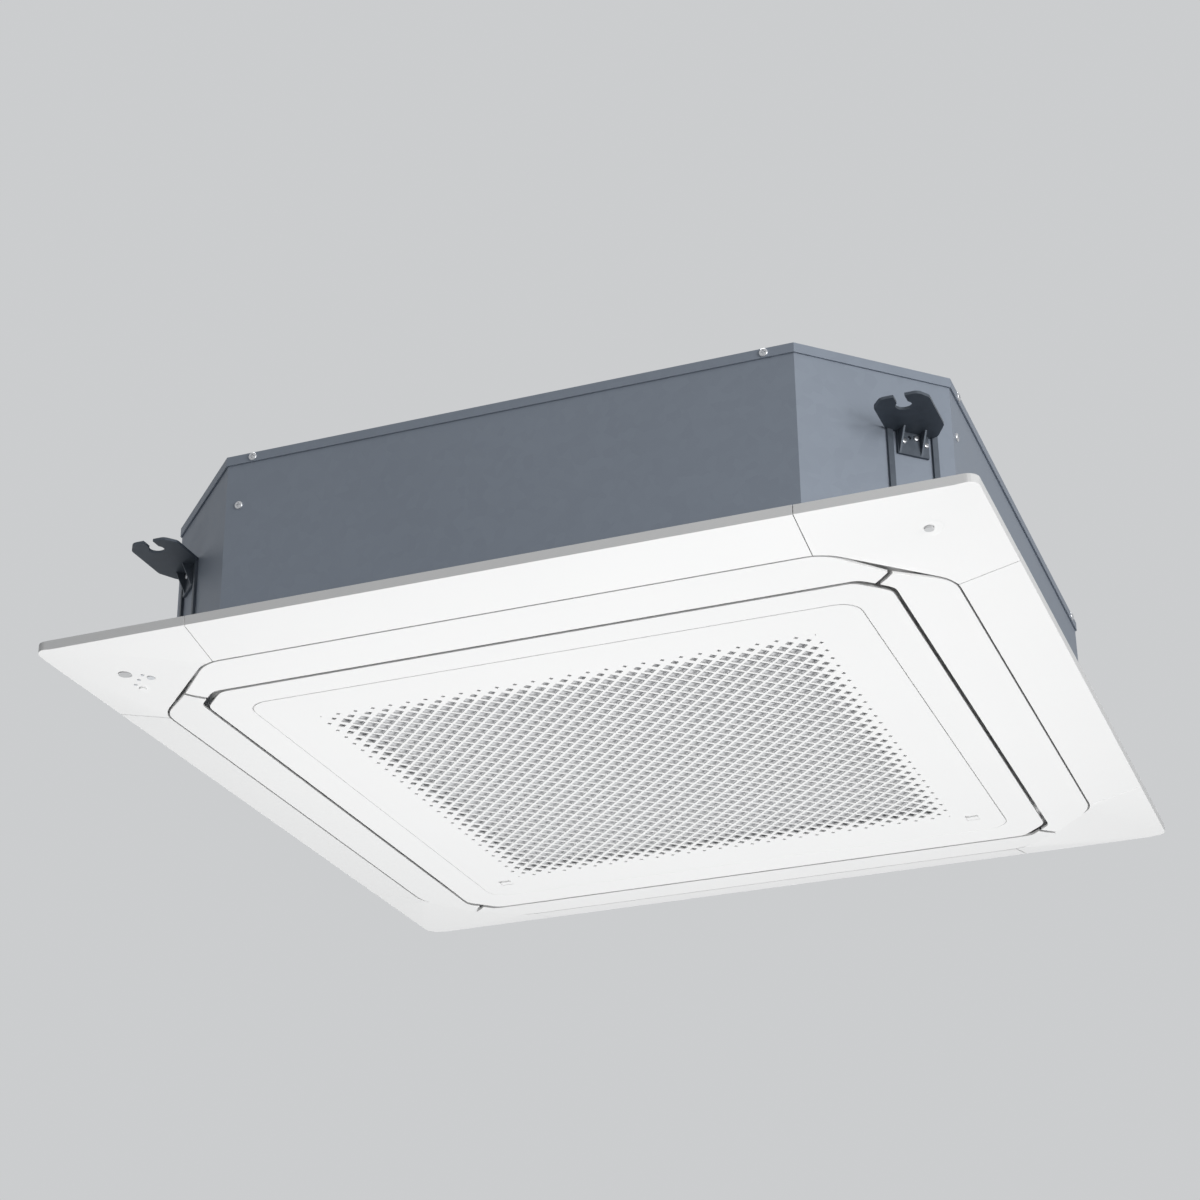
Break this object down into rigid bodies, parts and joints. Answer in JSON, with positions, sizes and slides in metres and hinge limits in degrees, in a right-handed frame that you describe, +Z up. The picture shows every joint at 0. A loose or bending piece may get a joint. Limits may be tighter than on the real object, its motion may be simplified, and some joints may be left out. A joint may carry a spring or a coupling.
{
  "type": "ceiling cassette air conditioner",
  "caption": "Square ceiling cassette unit: a steel body on hanging brackets and a white panel with sloping air flaps round a perforated intake grille.",
  "frame": {"origin": "midway between the four hanging slots, on the underside of the bracket plates, 128 mm above the ceiling plane", "axes": "+Z up, -Y the front, towards the edge of the grille that is hinged; the receiver is at the front left corner"},
  "size_m": [0.95, 0.95, 0.234],
  "materials": {
    "galvanised": "satin",
    "bracket_steel": "satin",
    "zinc": "satin",
    "foam": "matte",
    "fins": "satin",
    "end_plate": "satin",
    "copper": "satin",
    "brass": "satin",
    "inlet_plastic": "matte",
    "fan_plastic": "matte",
    "motor_paint": "satin",
    "rubber": "matte",
    "box_steel": "satin",
    "board": "satin",
    "terminal": "matte",
    "pump_plastic": "matte",
    "impeller_plastic": "matte",
    "float_plastic": "matte",
    "panel_white": "satin",
    "flap_white": "satin",
    "stepper": "satin",
    "grille_white": "satin",
    "filter_plastic": "matte",
    "filter_cloth": "matte",
    "window": "gloss",
    "lamp": "gloss",
    "sensor": "satin"
  },
  "bodies": {
    "unit": {"outer_casing": "galvanised", "lid": "galvanised", "casing_screws": "zinc", "front_left_bracket": "bracket_steel", "front_right_bracket": "bracket_steel", "back_left_bracket": "bracket_steel", "back_right_bracket": "bracket_steel", "bracket_screws": "zinc", "foam_lining": "foam", "coil_fins": "fins", "coil_end_plates": "end_plate", "coil_bends": "copper", "coil_headers": "copper", "drain_pan": "foam", "inlet_ring": "inlet_plastic", "motor_housing": "motor_paint", "motor_mounts": "rubber", "control_box": "box_steel", "control_box_cover": "box_steel", "circuit_board": "board", "terminal_block": "terminal", "pump_housing": "pump_plastic", "float_guide": "pump_plastic", "drain_tube": "pump_plastic", "gas_pipe": "copper", "liquid_pipe": "copper", "flare_nuts": "brass", "pipe_plate": "galvanised", "cable_gland": "rubber", "panel_frame": "panel_white", "panel_gasket": "rubber", "panel_screws": "zinc", "front_left_cover": "panel_white", "front_right_cover": "panel_white", "back_left_cover": "panel_white", "back_right_cover": "panel_white", "flap_motors": "stepper", "receiver_board": "board", "receiver_window": "window", "receiver_lamps": "lamp", "room_sensor": "sensor"},
    "fan": {"fan_hub": "fan_plastic", "fan_shroud": "fan_plastic", "fan_nut": "zinc", "motor_shaft": "zinc"},
    "front_flap": {"front_flap": "flap_white"},
    "right_flap": {"right_flap": "flap_white"},
    "back_flap": {"back_flap": "flap_white"},
    "left_flap": {"left_flap": "flap_white"},
    "grille": {"grille_frame": "grille_white", "perforated_plate": "grille_white", "filter_frame": "filter_plastic", "filter_mesh": "filter_cloth"},
    "left_latch": {"left_latch": "grille_white"},
    "right_latch": {"right_latch": "grille_white"},
    "receiver_button": {"receiver_button": "grille_white"},
    "float": {"float": "float_plastic"},
    "pump_impeller": {"pump_impeller": "impeller_plastic"}
  },
  "joints": [
    {"name": "fan_spin", "type": "hinge", "parent": "unit", "child": "fan", "pos_m": [0, 0, 0], "axis": [0, 0, 1], "continuous": true},
    {"name": "front_flap_swing", "type": "hinge", "parent": "unit", "child": "front_flap", "pos_m": [0, -0.375, -0.14986], "axis": [1, 0, 0], "range_deg": [0, 45]},
    {"name": "right_flap_swing", "type": "hinge", "parent": "unit", "child": "right_flap", "pos_m": [0.375, 0, -0.14986], "axis": [0, 1, 0], "range_deg": [0, 45]},
    {"name": "back_flap_swing", "type": "hinge", "parent": "unit", "child": "back_flap", "pos_m": [0, 0.375, -0.14986], "axis": [-1, 0, 0], "range_deg": [0, 45]},
    {"name": "left_flap_swing", "type": "hinge", "parent": "unit", "child": "left_flap", "pos_m": [-0.375, 0, -0.14986], "axis": [0, -1, 0], "range_deg": [0, 45]},
    {"name": "grille_swing", "type": "hinge", "parent": "unit", "child": "grille", "pos_m": [0, -0.343, -0.152], "axis": [-1, 0, 0], "range_deg": [0, 80]},
    {"name": "left_latch_slide", "type": "slide", "parent": "grille", "child": "left_latch", "axis": [0, -1, 0], "range_m": [0, 0.006], "stiffness_N_per_m": 150, "springref_m": -0.004},
    {"name": "right_latch_slide", "type": "slide", "parent": "grille", "child": "right_latch", "axis": [0, -1, 0], "range_m": [0, 0.006], "stiffness_N_per_m": 150, "springref_m": -0.004},
    {"name": "receiver_button_press", "type": "slide", "parent": "unit", "child": "receiver_button", "axis": [0, 0, 1], "range_m": [0, 0.001], "stiffness_N_per_m": 400, "springref_m": -0.001},
    {"name": "float_rise", "type": "slide", "parent": "unit", "child": "float", "axis": [0, 0, 1], "range_m": [0, 0.02]},
    {"name": "pump_impeller_spin", "type": "hinge", "parent": "unit", "child": "pump_impeller", "pos_m": [-0.332, 0.25, 0], "axis": [0, 0, 1], "continuous": true}
  ]
}
